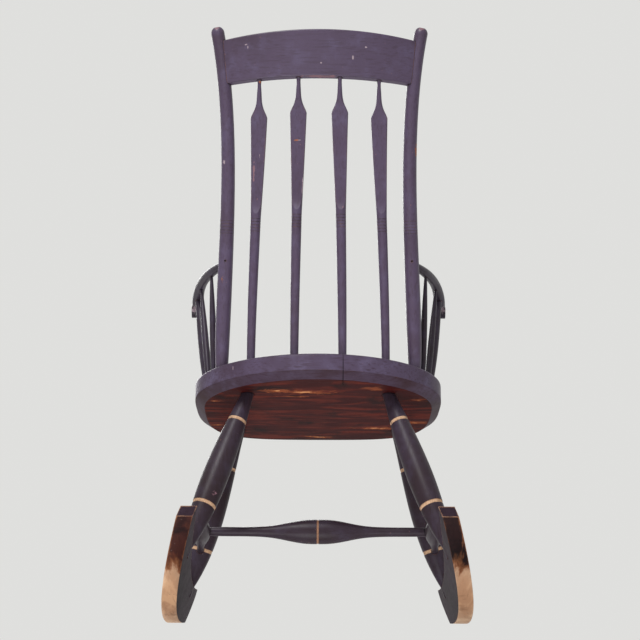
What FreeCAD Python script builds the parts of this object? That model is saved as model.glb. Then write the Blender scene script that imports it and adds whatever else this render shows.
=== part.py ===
import FreeCAD
import Part
import math
import os

# Arrow-back rocking chair: plank seat, bent back, scrolled arms and a ringed underframe on two rockers.
# Millimetres. X is the sitter's left, Y points to the back and Z points up.
# The chair is drawn with its seat level and the lowest line of the treads at Z 0.
# It is then rolled back to the angle at which it balances on its rockers.

# Joints
FIT_CLEARANCE = 0.1
SEAT_SOCKET_DEPTH = 34.0
ROCKER_SOCKET_DEPTH = 22.0
STRETCHER_TENON = 14.0
CREST_SOCKET_DEPTH = 24.0
ARM_SUPPORT_TENON = 9.0

# Seat
SEAT_TOP = 471.0
SEAT_THICKNESS = 50.0
SEAT_HALF_WIDTH = 260.0
SEAT_WIDEST_Y = 15.0
SEAT_REAR_REACH = 207.0
SEAT_FRONT_REACH = 242.0
SEAT_REAR_POWER = 2.0
SEAT_FRONT_POWER = 3.6
SEAT_BEVEL_INSET = 20.0
SEAT_BEVEL_HEIGHT = 14.0
SEAT_EDGE_EASE = 5.0
SEAT_DISH_RADIUS = 195.0
SEAT_DISH_DEPTH = 8.0
SEAT_DISH_Y = -25.0
OUTLINE_POINTS = 48
HALVINGS = 40

# Rockers
TREAD_RADIUS = 1250.0
TREAD_CENTRE_Y = -30.0
TREAD_WIDTH = 31.0
ROCKER_HALF_GAUGE = 304.5
ROCKER_TOE_OUT = 0.057
ROCKER_LEAN = 22.0
ROCKER_REAR_TIP_Y = 405.0
ROCKER_FRONT_TIP_Y = -335.0
ROCKER_NOSE_LENGTH = 45.0
ROCKER_HEIGHT = 74.0
ROCKER_TAIL_HEIGHT = 20.0
ROCKER_TAIL_POWER = 3.0
ROCKER_TOP_STATIONS = 7

# Legs
REAR_LEG_INSET = 114.0
REAR_LEG_TOP_Y = 108.0
FRONT_LEG_INSET = 88.0
FRONT_LEG_TOP_Y = -135.0
REAR_FOOT_Y = 185.0
FRONT_FOOT_Y = -187.0
LEG_TOP_RADIUS = 12.3
LEG_UPPER_RING_RADIUS = 19.4
LEG_LOWER_RING_RADIUS = 24.0
LEG_FOOT_RADIUS = 9.0
LEG_FOOT_INSET = 6.5
REAR_LEG_RINGS_AT = (0.19, 0.74)
FRONT_LEG_RINGS_AT = (0.25, 0.77)
LEG_RING_WIDTH = 7.0
LEG_RING_DEPTH = 0.6

# Stretchers
STRETCHER_Z = 156.0
SIDE_STRETCHER_END_RADIUS = 8.0
SIDE_STRETCHER_SHANK_RADIUS = 9.5
SIDE_STRETCHER_SHANK_AT = 0.2
SIDE_STRETCHER_BULB_RADIUS = 19.0
MEDIAL_STRETCHER_END_RADIUS = 8.7
MEDIAL_STRETCHER_BULB_RADIUS = 25.5
MEDIAL_STRETCHER_SWELL = ((0.0, 0.0), (0.2, 0.08), (0.3, 0.28), (0.37, 0.64), (0.445, 0.96))
MEDIAL_RING_WIDTH = 4.0
MEDIAL_RING_DEPTH = 0.8

# Back posts
POST_FOOT_INSET = 59.5
POST_FOOT_Y = 118.0
POST_TIP_OUT = 15.0
POST_TIP_Y = 340.0
BACK_HEIGHT = 683.0
POST_FOOT_LEAN = 8.0
POST_TIP_LEAN = 29.0
POST_TIP_FLARE = 12.6
POST_FOOT_PULL = 228.0
POST_TIP_PULL = 232.0
POST_FOOT_RADIUS = 13.0
POST_ARM_RADIUS = 15.5
POST_WAIST_RADIUS = 14.5
POST_TIP_RADIUS = 14.0
POST_PROFILE = (
    (0.0, POST_FOOT_RADIUS),
    (0.14, POST_ARM_RADIUS),
    (0.3, POST_ARM_RADIUS),
    (0.55, POST_WAIST_RADIUS),
    (0.8, POST_TIP_RADIUS),
    (0.981, POST_TIP_RADIUS),
)
POST_TIP_PROFILE = ((0.989, 0.9), (0.995, 0.68), (0.9985, 0.38))
POST_GROOVES_AT = 0.418

# Crest rail
CREST_END_INSET = 5.5
CREST_BELOW_TIP = 110.0
CREST_SETBACK = 39.7954
CREST_LEAN = 27.0
CREST_BEND_RADIUS = 548.0
CREST_THICKNESS = 16.0
CREST_CENTRE_HEIGHT = 87.0
CREST_END_HEIGHT = 81.0
CREST_EDGE_ROUND = 3.0
CREST_TENON_THICKNESS = 9.0
CREST_TENON_INSET = 9.0
CREST_TENON_LENGTH = 12.0

# Arrow spindles
SPINDLE_FEET = ((49.3, 182.0), (139.0, 152.0))
SPINDLE_HEAD_X = (43.0, 125.0)
SPINDLE_FOOT_LEAN = 5.0
SPINDLE_FOOT_PULL = 190.0
SPINDLE_HEAD_PULL = 190.0
SPINDLE_FOOT_WIDTH = 17.0
SPINDLE_SHANK_STEPS = 3
SPINDLE_GROOVES_AT = 0.492
SPINDLE_BLADE_FROM = 0.525
SPINDLE_BLADE_TO = (0.873, 0.864)
SPINDLE_BLADE_ROOT_WIDTH = 21.5
SPINDLE_BLADE_WIDTH = 35.0
SPINDLE_BLADE_THICKNESS = 10.0
SPINDLE_BLADE_PROFILE = ((0.19, 0.2), (0.54, 0.55), (1.0, 1.0))
SPINDLE_NECK_WIDTH = 9.5
SPINDLE_SHOULDER_PROFILE = ((0.02, 0.64), (0.04, 0.27), (0.06, 0.09), (0.09, 0.0))
SPINDLE_SCOOP_PROFILE = ((-0.03, 3.4), (0.01, 2.0), (0.035, 1.3), (0.06, 1.05))
SPINDLE_FLAT_STEPS = 6

# Scored grooves on the posts and spindles
GROOVE_COUNT = 5
GROOVE_PITCH = 6.5
GROOVE_DEPTH = 0.5
GROOVE_ROUND = 0.85

# Arms
ARM_ABOVE_SEAT = 220.0
ARM_END_OUT = 72.0
ARM_END_FORE = 268.0
ARM_END_RISE = 1.0
ARM_ROOT_SPLAY = 34.0
ARM_ROOT_RISE = 2.0
ARM_ROOT_PULL = 63.0
ARM_END_DROOP = 13.0
ARM_END_PULL = 111.0
ARM_ROOT_DIAMETER = 15.0
ARM_PROFILE = (
    (0.0, ARM_ROOT_DIAMETER, ARM_ROOT_DIAMETER),
    (0.18, 19.0, 17.0),
    (0.5, 21.0, 18.5),
    (0.75, 23.0, 19.5),
    (0.92, 26.0, 21.0),
    (1.0, 26.0, 17.0),
)
ARM_SCROLL_RADIUS = 13.5
ARM_SCROLL_WIDTH = 28.0
ARM_SCROLL_DROP = 6.0
ARM_SCROLL_EYE_RADIUS = 5.5
ARM_SCROLL_EYE_DEPTH = 1.2
ARM_PIN_RADIUS = 2.4
ARM_PIN_LENGTH = 26.0
ARM_PIN_RECESS = 1.5

# Arm supports: foot in from the seat's widest line and its Y, share of the arm where the head enters
ARM_SUPPORTS = (
    ("arm_spindle_rear", (42.0, 84.0), 0.32),
    ("arm_spindle_middle", (29.0, 38.0), 0.65),
    ("arm_post", (26.0, -22.0), 0.84),
)
ARM_SUPPORT_SWELL_AT = 0.45
ARM_SUPPORT_NECK_AT = 0.8
ARM_SPINDLE_HEAD_RADIUS = 3.0
ARM_SPINDLE_SWELL_RADIUS = 7.0
ARM_SPINDLE_FOOT_RADIUS = 5.5
ARM_POST_HEAD_RADIUS = 7.0
ARM_POST_SWELL_RADIUS = 12.0
ARM_POST_FOOT_RADIUS = 8.0

AXIS_X = FreeCAD.Vector(1, 0, 0)
AXIS_Z = FreeCAD.Vector(0, 0, 1)
ORIGIN = FreeCAD.Vector(0, 0, 0)
SEAT_UNDERSIDE = SEAT_TOP - SEAT_THICKNESS
POST_FOOT_X = SEAT_HALF_WIDTH - POST_FOOT_INSET
CREST_HALF_SPAN = POST_FOOT_X - CREST_END_INSET


def unit(vector):
    """A copy of the vector with length one."""
    copy = FreeCAD.Vector(vector)
    copy.normalize()
    return copy


def tilted(lean, flare=0.0):
    """Unit direction that rises, leans back by one angle and out by another, in degrees."""
    back = math.tan(math.radians(lean))
    out = math.tan(math.radians(flare))
    return unit(FreeCAD.Vector(out, back, 1))


def spline_edge(points):
    """One smooth edge through the points."""
    curve = Part.BSplineCurve()
    curve.interpolate(points)
    return curve.toShape()


def closed_spline(points):
    """One smooth closed wire through the points."""
    curve = Part.BSplineCurve()
    curve.interpolate(Points=points, PeriodicFlag=True)
    return Part.Wire([curve.toShape()])


def signed_power(value, exponent):
    """Power of a size that keeps the sign of the value."""
    return math.copysign(abs(value) ** exponent, value)


def section(centre, tangent, width, depth):
    """Round or oval cross-section wire, square to the tangent, with its width across the chair."""
    across = unit(AXIS_X - tangent * AXIS_X.dot(tangent))
    if width > depth:
        fore = tangent.cross(across)
        outline = Part.Ellipse(centre + across * (width / 2), centre + fore * (depth / 2), centre)
    else:
        outline = Part.Circle(centre, tangent, width / 2)
        outline.XAxis = across
    return Part.Wire([outline.toShape()])


def rod(start, direction, radius, length):
    """Plain cylinder from a point along a direction."""
    return Part.makeCylinder(radius, length, start, direction)


def socket(mouth, inward, radius, depth):
    """Cutter for a round socket: it starts outside the mouth and ends just past the depth."""
    overrun = 2 * radius + 2 * depth
    start = mouth - inward * overrun
    return rod(start, inward, radius + FIT_CLEARANCE, depth + overrun + FIT_CLEARANCE)


def turned(start, end, stations, start_tenon, end_tenon, rings=()):
    """Lathe-turned rod: stations are (share of length, radius); rings are (share, width, depth)."""
    axis = end - start
    length = axis.Length
    first = stations[0][1]
    last = stations[-1][1]
    flank = [FreeCAD.Vector(radius, 0, share * length) for share, radius in stations]
    outline = [
        FreeCAD.Vector(0, 0, length + end_tenon),
        FreeCAD.Vector(0, 0, -start_tenon),
        FreeCAD.Vector(first, 0, -start_tenon),
        flank[0],
    ]
    close = [flank[-1], FreeCAD.Vector(last, 0, length + end_tenon), outline[0]]
    edges = [Part.makeLine(a, b) for a, b in zip(outline, outline[1:])]
    edges.append(spline_edge(flank))
    edges += [Part.makeLine(a, b) for a, b in zip(close, close[1:])]
    body = Part.Face(Part.Wire(edges)).revolve(ORIGIN, AXIS_Z, 360)
    for share, width, depth in rings:
        radius = radius_at(stations, share) - depth
        low = FreeCAD.Vector(0, 0, share * length - width / 2)
        collar = Part.makeCylinder(radius + 10 * depth, width, low, AXIS_Z)
        core = Part.makeCylinder(radius, width, low, AXIS_Z)
        body = body.cut(collar.cut(core))
    body.Placement = FreeCAD.Placement(start, FreeCAD.Rotation(AXIS_Z, axis))
    return body


def radius_at(stations, share):
    """Radius of the station at this share of the length."""
    return dict(stations)[share]


def seat_outline():
    """Outline of the seat's underside before it is bevelled: round at the back and squarer at the front."""
    points = []
    for index in range(OUTLINE_POINTS):
        angle = 2 * math.pi * (index + 0.5) / OUTLINE_POINTS
        rear = math.sin(angle) > 0
        power = SEAT_REAR_POWER if rear else SEAT_FRONT_POWER
        reach = SEAT_REAR_REACH if rear else SEAT_FRONT_REACH
        x = signed_power(math.cos(angle), 2 / power) * SEAT_HALF_WIDTH
        y = signed_power(math.sin(angle), 2 / power) * reach
        points.append(FreeCAD.Vector(x, SEAT_WIDEST_Y + y, SEAT_UNDERSIDE))
    return closed_spline(points)


def rim_edges(plank, height):
    """The outline edges of the plank that lie at a height."""
    level = [edge for edge in plank.Edges if edge.BoundBox.ZLength < FIT_CLEARANCE]
    return [edge for edge in level if abs(edge.BoundBox.ZMin - height) < FIT_CLEARANCE]


def seat_blank():
    """Plank with a wide bevel round its underside, an eased top edge and a shallow dish."""
    plank = Part.Face(seat_outline()).extrude(AXIS_Z * SEAT_THICKNESS)
    plank = plank.makeChamfer(SEAT_BEVEL_HEIGHT, SEAT_BEVEL_INSET, rim_edges(plank, SEAT_UNDERSIDE))
    plank = plank.makeFillet(SEAT_EDGE_EASE, rim_edges(plank, SEAT_TOP))
    dish = (SEAT_DISH_RADIUS ** 2 + SEAT_DISH_DEPTH ** 2) / (2 * SEAT_DISH_DEPTH)
    centre = FreeCAD.Vector(0, SEAT_DISH_Y, SEAT_TOP - SEAT_DISH_DEPTH + dish)
    return plank.cut(Part.makeSphere(dish, centre))


def tread_height(y):
    """Height of the tread above its lowest line."""
    return TREAD_RADIUS - math.sqrt(TREAD_RADIUS ** 2 - (y - TREAD_CENTRE_Y) ** 2)


def rocker_top(y):
    """Height of the rocker's top edge, which falls away towards the tail."""
    nose_end = ROCKER_FRONT_TIP_Y + ROCKER_NOSE_LENGTH
    share = (y - nose_end) / (ROCKER_REAR_TIP_Y - nose_end)
    fall = (ROCKER_HEIGHT - ROCKER_TAIL_HEIGHT) * max(share, 0.0) ** ROCKER_TAIL_POWER
    return tread_height(y) + ROCKER_HEIGHT - fall


def rocker_x(y, z):
    """Middle of the left rocker's thickness: it toes out to the front and leans in to the top."""
    return ROCKER_HALF_GAUGE - ROCKER_TOE_OUT * y - math.tan(math.radians(ROCKER_LEAN)) * z


def on_rocker(y, z):
    """Point on the inner face of the left rocker."""
    return FreeCAD.Vector(rocker_x(y, z) - TREAD_WIDTH / 2, y, z)


def left_rocker():
    """Leaning board with a tapered tail and a rounded nose, its tread cut to one cylinder."""
    nose_end = ROCKER_FRONT_TIP_Y + ROCKER_NOSE_LENGTH
    tip_z = tread_height(ROCKER_FRONT_TIP_Y)
    nose_rise = rocker_top(nose_end) - tip_z
    round_y = nose_end - ROCKER_NOSE_LENGTH * math.sin(math.pi / 4)
    round_z = tip_z + nose_rise * math.cos(math.pi / 4)
    span = ROCKER_REAR_TIP_Y - nose_end
    stations = [nose_end + span * index / (ROCKER_TOP_STATIONS - 1) for index in range(ROCKER_TOP_STATIONS)]
    top = [on_rocker(y, rocker_top(y)) for y in stations]
    toe = on_rocker(ROCKER_FRONT_TIP_Y, tip_z)
    below = -ROCKER_HEIGHT
    low_front = on_rocker(ROCKER_FRONT_TIP_Y, below)
    low_rear = on_rocker(ROCKER_REAR_TIP_Y, below)
    edges = [
        spline_edge(top),
        Part.makeLine(top[-1], low_rear),
        Part.makeLine(low_rear, low_front),
        Part.makeLine(low_front, toe),
        Part.Arc(toe, on_rocker(round_y, round_z), top[0]).toShape(),
    ]
    board = Part.Face(Part.Wire(edges)).extrude(FreeCAD.Vector(TREAD_WIDTH, 0, 0))
    width = 2 * ROCKER_HALF_GAUGE
    drum = Part.makeCylinder(TREAD_RADIUS, width, FreeCAD.Vector(0, TREAD_CENTRE_Y, TREAD_RADIUS), AXIS_X)
    return board.common(drum)


def leg_line(top_x, top_y, foot_y):
    """Ends of a left leg's axis: on the seat's underside and on the rocker's top edge."""
    top = FreeCAD.Vector(top_x, top_y, SEAT_UNDERSIDE)
    foot_z = rocker_top(foot_y)
    return top, FreeCAD.Vector(rocker_x(foot_y, foot_z) - LEG_FOOT_INSET, foot_y, foot_z)


def point_at_height(line, height):
    """Point of a line at a height."""
    top, foot = line
    share = (top.z - height) / (top.z - foot.z)
    return top + (foot - top) * share


def leg(line, rings_at):
    """Leg that swells from the seat to a ring near its foot and then tapers sharply."""
    upper, lower = rings_at
    stations = (
        (0.0, LEG_TOP_RADIUS),
        (upper, LEG_UPPER_RING_RADIUS),
        (lower, LEG_LOWER_RING_RADIUS),
        (1.0, LEG_FOOT_RADIUS),
    )
    rings = [(share, LEG_RING_WIDTH, LEG_RING_DEPTH) for share in rings_at]
    return turned(line[0], line[1], stations, SEAT_SOCKET_DEPTH, ROCKER_SOCKET_DEPTH, rings)


def side_stretcher(rear, front):
    """Stretcher with a bulb at its middle, its tenons reaching the axes of one side's legs."""
    reach = unit(front - rear)
    start = rear + reach * STRETCHER_TENON
    end = front - reach * STRETCHER_TENON
    stations = (
        (0.0, SIDE_STRETCHER_END_RADIUS),
        (SIDE_STRETCHER_SHANK_AT, SIDE_STRETCHER_SHANK_RADIUS),
        (0.5, SIDE_STRETCHER_BULB_RADIUS),
        (1 - SIDE_STRETCHER_SHANK_AT, SIDE_STRETCHER_SHANK_RADIUS),
        (1.0, SIDE_STRETCHER_END_RADIUS),
    )
    return turned(start, end, stations, STRETCHER_TENON, STRETCHER_TENON)


def medial_stretcher(reach):
    """Stretcher across the chair between two crossings, swelling to a ringed bulb at its middle."""
    swell = MEDIAL_STRETCHER_BULB_RADIUS - MEDIAL_STRETCHER_END_RADIUS
    rising = [(share, MEDIAL_STRETCHER_END_RADIUS + swell * part) for share, part in MEDIAL_STRETCHER_SWELL]
    falling = [(1 - share, radius) for share, radius in reversed(rising)]
    stations = tuple(rising + [(0.5, MEDIAL_STRETCHER_BULB_RADIUS)] + falling)
    start = FreeCAD.Vector(reach - STRETCHER_TENON, 0, STRETCHER_Z)
    end = FreeCAD.Vector(STRETCHER_TENON - reach, 0, STRETCHER_Z)
    ring = (0.5, MEDIAL_RING_WIDTH, MEDIAL_RING_DEPTH)
    return turned(start, end, stations, STRETCHER_TENON, STRETCHER_TENON, (ring,))


def bent_path(foot, foot_direction, foot_pull, head, head_direction, head_pull):
    """Bent line that leaves its foot and reaches its head along the given directions."""
    curve = Part.BezierCurve()
    curve.setPoles([foot, foot + foot_direction * foot_pull, head - head_direction * head_pull, head])
    return curve


def swept(curve, stations):
    """Skin over oval cross-sections set along a curve: stations are (share, width, depth)."""
    wires = []
    for share, width, depth in stations:
        wires.append(section(curve.value(share), unit(curve.tangent(share)[0]), width, depth))
    return Part.makeLoft(wires, True, False)


def scored(body, curve, middle, stations):
    """The body with a band of fine round-bottomed grooves, where its diameter runs between two stations."""
    (low, low_radius), (high, high_radius) = stations
    pitch = GROOVE_PITCH / curve.length()
    tools = []
    for index in range(GROOVE_COUNT):
        share = middle + pitch * (index - (GROOVE_COUNT - 1) / 2)
        radius = low_radius + (high_radius - low_radius) * (share - low) / (high - low)
        ring = radius - GROOVE_DEPTH + GROOVE_ROUND
        tools.append(Part.makeTorus(ring, GROOVE_ROUND, curve.value(share), curve.tangent(share)[0]))
    return body.cut(tools)


def post_curve():
    """Centre line of the left back post."""
    foot = FreeCAD.Vector(POST_FOOT_X, POST_FOOT_Y, SEAT_TOP)
    tip = FreeCAD.Vector(POST_FOOT_X + POST_TIP_OUT, POST_TIP_Y, SEAT_TOP + BACK_HEIGHT)
    heading = tilted(POST_TIP_LEAN, POST_TIP_FLARE)
    return bent_path(foot, tilted(POST_FOOT_LEAN), POST_FOOT_PULL, tip, heading, POST_TIP_PULL)


def on_post(curve, height):
    """Point on the post's centre line at a height, found by halving."""
    low = 0.0
    high = 1.0
    for _ in range(HALVINGS):
        middle = (low + high) / 2
        if curve.value(middle).z < height:
            low = middle
        else:
            high = middle
    return curve.value(low)


def crest_foot():
    """Middle of the crest's bottom edge, set back from the posts at its height."""
    height = SEAT_TOP + BACK_HEIGHT - CREST_BELOW_TIP
    return FreeCAD.Vector(0, on_post(post_curve(), height).y + CREST_SETBACK, height)


def left_post(curve):
    """Bent back post with a rounded tip and a round tenon in the seat."""
    rounding = [POST_PROFILE[-1]] + [(share, POST_TIP_RADIUS * part) for share, part in POST_TIP_PROFILE]
    body = swept(curve, [(share, 2 * radius, 2 * radius) for share, radius in POST_PROFILE])
    body = scored(body, curve, POST_GROOVES_AT, POST_PROFILE[2:4])
    tip = swept(curve, [(share, 2 * radius, 2 * radius) for share, radius in rounding])
    foot = curve.value(0.0)
    down = unit(curve.tangent(0.0)[0]) * -1
    tenon = rod(foot, down, POST_FOOT_RADIUS, SEAT_SOCKET_DEPTH)
    return body.fuse([tip, tenon]).removeSplitter()


def arc_edge(half_span, radius):
    """Horizontal arc across the chair, bowed back, about the crest's bending centre."""
    drop = radius - math.sqrt(radius ** 2 - half_span ** 2)
    y = radius - CREST_BEND_RADIUS
    left = FreeCAD.Vector(half_span, y - drop, 0)
    right = FreeCAD.Vector(-half_span, y - drop, 0)
    return left, right, Part.Arc(left, FreeCAD.Vector(0, y, 0), right).toShape()


def bent_board(half_span, thickness, low, high, arch):
    """Board that leans back and bows back, between two heights, with its top edge arched."""
    lean = math.radians(CREST_LEAN)
    half_depth = thickness / math.cos(lean) / 2
    back_left, back_right, back_arc = arc_edge(half_span, CREST_BEND_RADIUS + half_depth)
    front_left, front_right, front_arc = arc_edge(half_span, CREST_BEND_RADIUS - half_depth)
    ends = [Part.makeLine(back_right, front_right), Part.makeLine(front_left, back_left)]
    plan = Part.Face(Part.Wire([back_arc, ends[0], front_arc, ends[1]]))
    tall = high - low + arch
    plan.translate(FreeCAD.Vector(0, low * math.tan(lean), low))
    board = plan.extrude(FreeCAD.Vector(0, tall * math.tan(lean), tall))
    corners = (
        FreeCAD.Vector(-half_span, -half_span, high),
        FreeCAD.Vector(-half_span, -half_span, low),
        FreeCAD.Vector(half_span, -half_span, low),
        FreeCAD.Vector(half_span, -half_span, high),
    )
    edges = [Part.makeLine(a, b) for a, b in zip(corners, corners[1:])]
    if arch > 0:
        crown = FreeCAD.Vector(0, -half_span, high + arch)
        edges.append(Part.Arc(corners[3], crown, corners[0]).toShape())
        outline = Part.Face(Part.Wire(edges)).extrude(FreeCAD.Vector(0, 2 * half_span, 0))
        board = board.common(outline)
    board.translate(crest_foot())
    return board


def crest_rail(posts):
    """Crest coped to the posts, with a thinner tenon running into each."""
    arch = CREST_CENTRE_HEIGHT - CREST_END_HEIGHT
    board = bent_board(CREST_HALF_SPAN + POST_TIP_RADIUS, CREST_THICKNESS, 0, CREST_END_HEIGHT, arch)
    long_edges = [edge for edge in board.Edges if edge.Length > CREST_HALF_SPAN]
    board = board.makeFillet(CREST_EDGE_ROUND, long_edges)
    rail = board
    for post in posts:
        rail = rail.cut(post)
    rail = max(rail.Solids, key=lambda solid: solid.Volume)
    return rail


def crest_tenon(clearance):
    """The crest's tenons as one bent strip that ends inside the posts."""
    half = CREST_HALF_SPAN + CREST_TENON_LENGTH
    low = CREST_TENON_INSET - clearance
    high = CREST_END_HEIGHT - CREST_TENON_INSET + clearance
    return bent_board(half + clearance, CREST_TENON_THICKNESS + 2 * clearance, low, high, 0)


def spindle_head(x):
    """Point on the crest's bottom edge where a spindle enters."""
    drop = CREST_BEND_RADIUS - math.sqrt(CREST_BEND_RADIUS ** 2 - x ** 2)
    return crest_foot() + FreeCAD.Vector(x, -drop, 0)


def spindle_curve(index):
    """Centre line of a back spindle on the left side, counted from the middle."""
    x, y = SPINDLE_FEET[index]
    foot = FreeCAD.Vector(x, y, SEAT_TOP)
    head = spindle_head(SPINDLE_HEAD_X[index])
    heading = tilted(CREST_LEAN)
    return bent_path(foot, tilted(SPINDLE_FOOT_LEAN), SPINDLE_FOOT_PULL, head, heading, SPINDLE_HEAD_PULL)


def flattening(curve):
    """Slab that holds a spindle's flat faces: it bends with the spindle, as wide as half the seat."""
    shares = [(SPINDLE_BLADE_FROM + step, part) for step, part in SPINDLE_SCOOP_PROFILE]
    scooped = shares[-1][0]
    for index in range(SPINDLE_FLAT_STEPS):
        shares.append((scooped + (1 - scooped) * (index + 1) / SPINDLE_FLAT_STEPS, 1.0))
    rows = []
    for share, part in shares:
        rows.append((curve.value(share), unit(curve.tangent(share)[0]), SPINDLE_BLADE_THICKNESS * part))
    end, heading, thickness = rows[-1]
    rows.append((end + heading * CREST_SOCKET_DEPTH, heading, thickness))
    faces = []
    for side in (AXIS_X, AXIS_X * -1):
        points = [place + unit(side.cross(heading)) * (thickness / 2) for place, heading, thickness in rows]
        faces.append([FreeCAD.Vector(0, point.y, point.z) for point in points])
    edges = [
        spline_edge(faces[0]),
        Part.makeLine(faces[0][-1], faces[1][-1]),
        spline_edge(faces[1]),
        Part.makeLine(faces[1][0], faces[0][0]),
    ]
    return Part.Face(Part.Wire(Part.sortEdges(edges)[0])).extrude(AXIS_X * SEAT_HALF_WIDTH)


def arrow_spindle(curve, tip_at):
    """Turned spindle with a scored band, flattened front and back above it to an arrow-shaped blade."""
    root = SPINDLE_BLADE_ROOT_WIDTH
    blade = SPINDLE_BLADE_WIDTH
    neck = SPINDLE_NECK_WIDTH
    reach = tip_at - SPINDLE_BLADE_FROM
    ends = ((0.0, SPINDLE_FOOT_WIDTH / 2), (SPINDLE_BLADE_FROM, root / 2))
    steps = [index / SPINDLE_SHANK_STEPS for index in range(SPINDLE_SHANK_STEPS + 1)]
    widths = [SPINDLE_FOOT_WIDTH + (root - SPINDLE_FOOT_WIDTH) * step for step in steps]
    shank = swept(curve, [(SPINDLE_BLADE_FROM * step, width, width) for step, width in zip(steps, widths)])
    shank = scored(shank, curve, SPINDLE_GROOVES_AT, ends)
    broad = [(SPINDLE_BLADE_FROM, root, root)]
    for share, part in SPINDLE_BLADE_PROFILE:
        broad.append((SPINDLE_BLADE_FROM + reach * share, root + (blade - root) * part, root))
    shoulder = [broad[-1]]
    for step, part in SPINDLE_SHOULDER_PROFILE:
        shoulder.append((tip_at + step, neck + (blade - neck) * part, neck + (root - neck) * part))
    shoulder.append((1.0, neck, neck))
    arrow = swept(curve, broad).fuse(swept(curve, shoulder)).common(flattening(curve))
    down = unit(curve.tangent(0.0)[0]) * -1
    foot = rod(curve.value(0.0), down, SPINDLE_FOOT_WIDTH / 2, SEAT_SOCKET_DEPTH)
    head = rod(curve.value(1.0), unit(curve.tangent(1.0)[0]), neck / 2, CREST_SOCKET_DEPTH)
    return shank.fuse([arrow, foot, head]).removeSplitter()


def arm_curve(root):
    """Centre line of the left arm, from inside the post to the scroll."""
    splay = math.tan(math.radians(ARM_ROOT_SPLAY))
    rise = math.tan(math.radians(ARM_ROOT_RISE))
    droop = math.tan(math.radians(ARM_END_DROOP))
    end = root + FreeCAD.Vector(ARM_END_OUT, -ARM_END_FORE, ARM_END_RISE)
    outward = unit(FreeCAD.Vector(splay, -1, rise))
    return bent_path(root, outward, ARM_ROOT_PULL, end, unit(FreeCAD.Vector(0, -1, -droop)), ARM_END_PULL)


def left_arm(curve, post):
    """Slender arm that swells forward and rolls under in a scroll with a sunk eye at each end."""
    bar = swept(curve, ARM_PROFILE).cut(post)
    bar = max(bar.Solids, key=lambda solid: solid.Volume)
    centre = curve.value(1.0) - AXIS_Z * ARM_SCROLL_DROP
    half = AXIS_X * (ARM_SCROLL_WIDTH / 2)
    roll = Part.makeCylinder(ARM_SCROLL_RADIUS, ARM_SCROLL_WIDTH, centre - half, AXIS_X)
    roll = roll.makeFillet(ARM_SCROLL_EYE_DEPTH, [edge for edge in roll.Edges if edge.isClosed()])
    arm = bar.fuse(roll)
    for outward in (AXIS_X, AXIS_X * -1):
        floor = centre + outward * (ARM_SCROLL_WIDTH / 2 - ARM_SCROLL_EYE_DEPTH)
        arm = arm.cut(rod(floor, outward, ARM_SCROLL_EYE_RADIUS, ARM_SCROLL_EYE_DEPTH))
    heading = unit(curve.tangent(0.0)[0])
    tenon = rod(curve.value(0.0), heading, ARM_ROOT_DIAMETER / 2, POST_ARM_RADIUS + ARM_ROOT_DIAMETER / 4)
    return arm.fuse(tenon).removeSplitter()


def arm_pin_seat(root):
    """Point on the back of the post where the arm's pin enters, and its direction."""
    return root + FreeCAD.Vector(0, POST_ARM_RADIUS, 0), FreeCAD.Vector(0, -1, 0)


def arm_supports(curve, seat_cutters, arm_cutters):
    """The left arm's two short spindles and its front post, with their sockets collected."""
    made = {}
    for name, foot_xy, share in ARM_SUPPORTS:
        inset, foot_y = foot_xy
        foot = FreeCAD.Vector(SEAT_HALF_WIDTH - inset, foot_y, SEAT_TOP)
        head = curve.value(share)
        heading = unit(head - foot)
        front = name == "arm_post"
        foot_radius = ARM_POST_FOOT_RADIUS if front else ARM_SPINDLE_FOOT_RADIUS
        head_radius = ARM_POST_HEAD_RADIUS if front else ARM_SPINDLE_HEAD_RADIUS
        swell = ARM_POST_SWELL_RADIUS if front else ARM_SPINDLE_SWELL_RADIUS
        stations = (
            (0.0, foot_radius),
            (ARM_SUPPORT_SWELL_AT, swell),
            (ARM_SUPPORT_NECK_AT, (swell + head_radius) / 2),
            (1.0, head_radius),
        )
        neck = head - heading * ARM_SUPPORT_TENON
        made[name] = turned(foot, neck, stations, SEAT_SOCKET_DEPTH / 2, ARM_SUPPORT_TENON)
        seat_cutters.append(socket(foot, heading * -1, foot_radius, SEAT_SOCKET_DEPTH / 2))
        arm_cutters.append(socket(neck, heading, head_radius, ARM_SUPPORT_TENON))
    return made


def mirrored(shape):
    """The same shape on the sitter's right."""
    return shape.mirror(ORIGIN, AXIS_X)


def both_sides(cutters):
    """Cutters of the left side with their mirror images."""
    return cutters + [mirrored(cutter) for cutter in cutters]


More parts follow.
